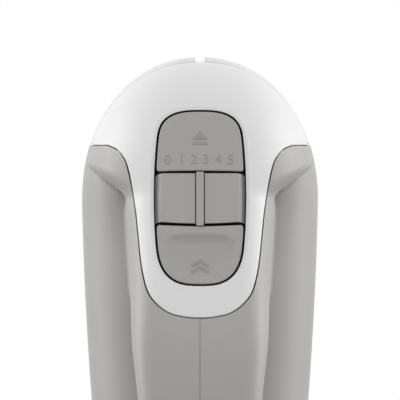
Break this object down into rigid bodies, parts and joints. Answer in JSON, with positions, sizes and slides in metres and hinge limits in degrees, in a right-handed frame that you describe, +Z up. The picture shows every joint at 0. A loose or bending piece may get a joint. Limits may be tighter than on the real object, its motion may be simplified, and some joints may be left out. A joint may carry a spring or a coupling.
{
  "type": "hand mixer",
  "caption": "Hand mixer on its heel: white domed cover, grey housing with loop handle, eject, speed and turbo controls, worm-driven spindles and wire beaters.",
  "frame": {"origin": "centre of the heel rest on the floor, on the motor axis", "axes": "+Z up along the motor axis to the nose, -Y to the handle and its controls, +Y along the beaters, X across"},
  "size_m": [0.0858, 0.2841, 0.1976],
  "materials": {
    "cover_white": "satin white moulding",
    "housing_grey": "fine matt light grey moulding",
    "band_pale": "satin pale grey moulding",
    "key_grey": "matt grey soft-touch",
    "rubber_black": "matt",
    "collar_dark": "satin",
    "plastic_black": "satin",
    "nylon_natural": "natural nylon",
    "gear_nylon": "smooth nylon",
    "board_green": "solder mask",
    "capacitor_yellow": "gloss",
    "screw_steel": "zinc plated",
    "spring_steel": "drawn wire",
    "shaft_steel": "ground",
    "lamination_steel": "stacked sheet",
    "winding_copper": "enamelled copper",
    "bearing_brass": "sintered",
    "carbon_black": "carbon",
    "beater_chrome": "polished"
  },
  "bodies": {
    "casing": {"top_cover": "cover_white", "nose_band": "band_pale", "housing_left": "housing_grey", "housing_right": "housing_grey", "heel_pads": "rubber_black", "housing_screws": "screw_steel", "cord_inlet": "rubber_black", "cord_clamp": "nylon_natural", "clamp_screws": "screw_steel", "eject_springs": "spring_steel", "slider_band": "key_grey", "slider_rail": "shaft_steel", "turbo_spring": "spring_steel", "turbo_switch": "plastic_black", "speed_switch": "nylon_natural", "control_board": "board_green", "capacitor": "capacitor_yellow", "terminal_block": "nylon_natural", "rear_bearing": "bearing_brass", "front_bearing": "bearing_brass", "thrust_ball": "shaft_steel", "thrust_plate": "shaft_steel", "stator_core": "lamination_steel", "field_coils": "winding_copper", "rear_bracket": "nylon_natural", "brush_holders": "bearing_brass", "brushes": "carbon_black", "brush_springs": "spring_steel", "motor_screws": "screw_steel", "gearbox_frame": "nylon_natural", "gearbox_cover": "nylon_natural", "gearbox_screws": "screw_steel", "spindle_bushes": "bearing_brass"},
    "rotor": {"motor_shaft": "shaft_steel", "rotor_core": "lamination_steel", "rotor_windings": "winding_copper", "commutator": "winding_copper", "fan": "plastic_black"},
    "spindle_left": {"spindle_left": "shaft_steel", "worm_wheel_left": "gear_nylon", "collar_left": "collar_dark"},
    "spindle_right": {"spindle_right": "shaft_steel", "worm_wheel_right": "gear_nylon", "collar_right": "collar_dark"},
    "pin_left": {"eject_pin_left": "nylon_natural"},
    "pin_right": {"eject_pin_right": "nylon_natural"},
    "beater_left": {"beater_shaft_left": "beater_chrome", "beater_hub_left": "beater_chrome", "beater_wires_left": "beater_chrome"},
    "beater_right": {"beater_shaft_right": "beater_chrome", "beater_hub_right": "beater_chrome", "beater_wires_right": "beater_chrome"},
    "eject_key": {"eject_button": "key_grey"},
    "eject_lifter": {"eject_yoke": "nylon_natural"},
    "slider": {"speed_slider": "key_grey", "slider_carrier": "plastic_black"},
    "turbo_key": {"turbo_button": "key_grey"}
  },
  "joints": [
    {"name": "motor_spin", "type": "hinge", "parent": "casing", "child": "rotor", "pos_m": [0, 0, 0.09], "axis": [0, 0, 1], "continuous": true},
    {"name": "spindle_left_spin", "type": "hinge", "parent": "casing", "child": "spindle_left", "pos_m": [-0.0195, 0, 0.138], "axis": [0, 1, 0], "continuous": true},
    {"name": "spindle_right_spin", "type": "hinge", "parent": "casing", "child": "spindle_right", "pos_m": [0.0195, 0, 0.138], "axis": [0, 1, 0], "continuous": true},
    {"name": "eject_press", "type": "slide", "parent": "casing", "child": "eject_key", "axis": [0, 0.9348, -0.3551], "range_m": [0, 0.005], "stiffness_N_per_m": 900, "springref_m": -0.0008},
    {"name": "eject_lift", "type": "slide", "parent": "casing", "child": "eject_lifter", "axis": [0, 1, 0], "range_m": [0, 0.0047], "deforming": ["eject_springs"]},
    {"name": "pin_left_slide", "type": "slide", "parent": "spindle_left", "child": "pin_left", "axis": [0, 1, 0], "range_m": [0, 0.0047]},
    {"name": "pin_right_slide", "type": "slide", "parent": "spindle_right", "child": "pin_right", "axis": [0, 1, 0], "range_m": [0, 0.0047]},
    {"name": "beater_left_pull", "type": "slide", "parent": "pin_left", "child": "beater_left", "axis": [0, 1, 0], "range_m": [0, 0.05]},
    {"name": "beater_right_pull", "type": "slide", "parent": "pin_right", "child": "beater_right", "axis": [0, 1, 0], "range_m": [0, 0.05]},
    {"name": "speed_slide", "type": "slide", "parent": "casing", "child": "slider", "axis": [1, 0, 0], "range_m": [-0.0112, 0.0112]},
    {"name": "turbo_press", "type": "slide", "parent": "casing", "child": "turbo_key", "axis": [0, 0.9348, -0.3551], "range_m": [0, 0.0025], "stiffness_N_per_m": 700, "springref_m": -0.0008, "deforming": ["turbo_spring"]}
  ],
  "couplings": [
    {"joint": "spindle_left_spin", "follows": "motor_spin", "ratio": 0.066667},
    {"joint": "spindle_right_spin", "follows": "motor_spin", "ratio": -0.066667},
    {"joint": "eject_lift", "follows": "eject_press", "ratio": 0.93483},
    {"joint": "pin_left_slide", "follows": "eject_press", "ratio": 0.93483},
    {"joint": "pin_right_slide", "follows": "eject_press", "ratio": 0.93483}
  ]
}
